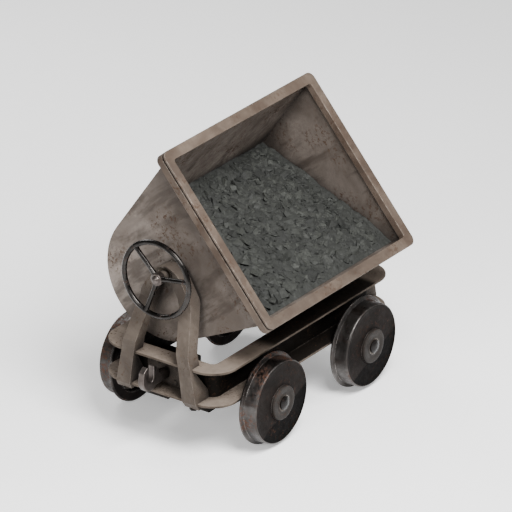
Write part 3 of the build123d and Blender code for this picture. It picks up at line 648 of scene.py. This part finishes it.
plateWork = {
    "frameEdge": (2.5 * mm, 3), "tubEdge": (1.2 * mm, 2), "smallEdge": (1.5 * mm, 2),
    "sharpAngle": math.radians(35), "joinDistance": 0.01 * mm,
}
hookForging = {"voxel": 1.4 * mm, "smoothing": 0.5, "passes": 24}


def joinCorners(piece):
    piece.modifiers.new("join", "WELD").merge_threshold = plateWork["joinDistance"]


def ease(edge, *names):
    # joins the split corners, then rounds the sharp edges
    width, segments = plateWork[edge]
    for name in names:
        piece = cadNodes[name]
        joinCorners(piece)
        rounding = piece.modifiers.new("easedEdges", "BEVEL")
        rounding.width = width
        rounding.segments = segments
        rounding.limit_method = "ANGLE"
        rounding.angle_limit = plateWork["sharpAngle"]
        rounding.harden_normals = False
        rounding.use_clamp_overlap = True


def forge(*names):
    # a forged bar: its corners are drawn round
    for name in names:
        piece = cadNodes[name]
        joinCorners(piece)
        forged = piece.modifiers.new("forged", "REMESH")
        forged.mode = "VOXEL"
        forged.voxel_size = hookForging["voxel"]
        forged.use_smooth_shade = True
        drawn = piece.modifiers.new("drawnRound", "SMOOTH")
        drawn.factor = hookForging["smoothing"]
        drawn.iterations = hookForging["passes"]


def finish(material, *names):
    for name in names:
        for spot in cadNodes[name].material_slots:
            spot.material = material


corners = [f"{e}_{s}" for e, _ in ends for s, _ in sides]
finish(tubPaint, "tub_shell", "tub_end_front", "tub_end_rear")
finish(rimPaint, "rim_lip", "rim_band")
finish(channelPaint, "channel_ring")
finish(framePaint, "trestle_front", "trestle_rear", "draw_pad_front", "draw_pad_rear", "draw_pad_rivets",
       "trunnion_front", "trunnion_rear", "trunnion_rivets", "trunnion_collar", "handwheel_key")
finish(shadowIron, "block_bolts", "trestle_bolts", "hook_nuts", "axle_collars", "axle_front", "axle_rear",
       *[f"{part}_{corner}" for part in ("truck_plate", "axle_block") for corner in corners])
finish(capSteel, "axle_caps")
finish(hookSteel, "draw_hook_front", "draw_hook_rear", "handwheel_boss", "handwheel_nut")
finish(bearingBronze, "pivot_bush_front", "pivot_bush_rear", *[f"wheel_bush_{corner}" for corner in corners])
ease("frameEdge", "channel_ring", "trestle_front", "trestle_rear")
ease("tubEdge", "tub_end_front", "tub_end_rear", "tub_shell")
ease("smallEdge", "rim_lip", "rim_band", "draw_pad_front", "draw_pad_rear")
forge("draw_hook_front", "draw_hook_rear")
print("plate and bar work finished")


# floor, light and camera

studio = {
    "floorSize": 60.0, "floorTone": 0.93, "floorGlow": 0.35, "floorRoughness": 0.9,
    "worldTone": (1.0, 0.995, 0.985), "worldStrength": 0.3,
    # name, place from the aim, power, size
    "lights": (("topLight", (-1.3, -2.5, 3.7), 600.0, 2.2), ("leftLight", (-4.3, -0.6, 1.9), 105.0, 1.5),
               ("rightLight", (2.7, -3.3, 3.2), 60.0, 1.2), ("backLight", (1.4, 4.0, 2.7), 130.0, 2.0)),
    "aim": (-0.0006, -0.0324, 0.5553), "distance": 20.0, "lens": 388.8, "sensor": 36,
    "azimuth": math.radians(-54.39), "elevation": math.radians(25.40), "roll": math.radians(0.234),
}
half = studio["floorSize"] / 2
floor = makeObject("studioFloor", [(-half, -half, 0), (half, -half, 0), (half, half, 0), (-half, half, 0)],
                   [(0, 1, 2, 3)], [])
paper = bpy.data.materials.new("floorPaper")
paper.use_nodes = True
paperShader = paper.node_tree.nodes["Principled BSDF"]
paperShader.inputs["Base Color"].default_value = (*[studio["floorTone"]] * 3, 1)
paperShader.inputs["Emission Color"].default_value = (1, 1, 1, 1)
paperShader.inputs["Emission Strength"].default_value = studio["floorGlow"]
paperShader.inputs["Roughness"].default_value = studio["floorRoughness"]
floor.data.materials.append(paper)

world = bpy.data.worlds.new("studioWorld")
world.use_nodes = True
sky = world.node_tree.nodes["Background"]
sky.inputs[0].default_value = (*studio["worldTone"], 1)
sky.inputs[1].default_value = studio["worldStrength"]
bpy.context.scene.world = world

aim = Vector(studio["aim"])
for name, offset, power, size in studio["lights"]:
    lamp = bpy.data.lights.new(name, "AREA")
    lamp.energy = power
    lamp.size = size
    softLight = bpy.data.objects.new(name, lamp)
    bpy.context.scene.collection.objects.link(softLight)
    softLight.location = aim + Vector(offset)
    softLight.rotation_euler = (-Vector(offset)).to_track_quat("-Z", "Y").to_euler()

cameraData = bpy.data.cameras.new("camera")
cameraData.sensor_width = studio["sensor"]
cameraData.lens = studio["lens"]
cameraData.clip_end = 100
camera = bpy.data.objects.new("camera", cameraData)
bpy.context.scene.collection.objects.link(camera)
azimuth, elevation = studio["azimuth"], studio["elevation"]
back = Vector((math.sin(azimuth) * math.cos(elevation), -math.cos(azimuth) * math.cos(elevation),
               math.sin(elevation)))
camera.matrix_world = (Matrix.Translation(aim + back * studio["distance"]) @ Matrix.Rotation(azimuth, 4, "Z")
                       @ Matrix.Rotation(math.pi / 2 - elevation, 4, "X")
                       @ Matrix.Rotation(studio["roll"], 4, "Z"))
bpy.context.scene.camera = camera
print("studio set")

bpy.context.view_layer.update()
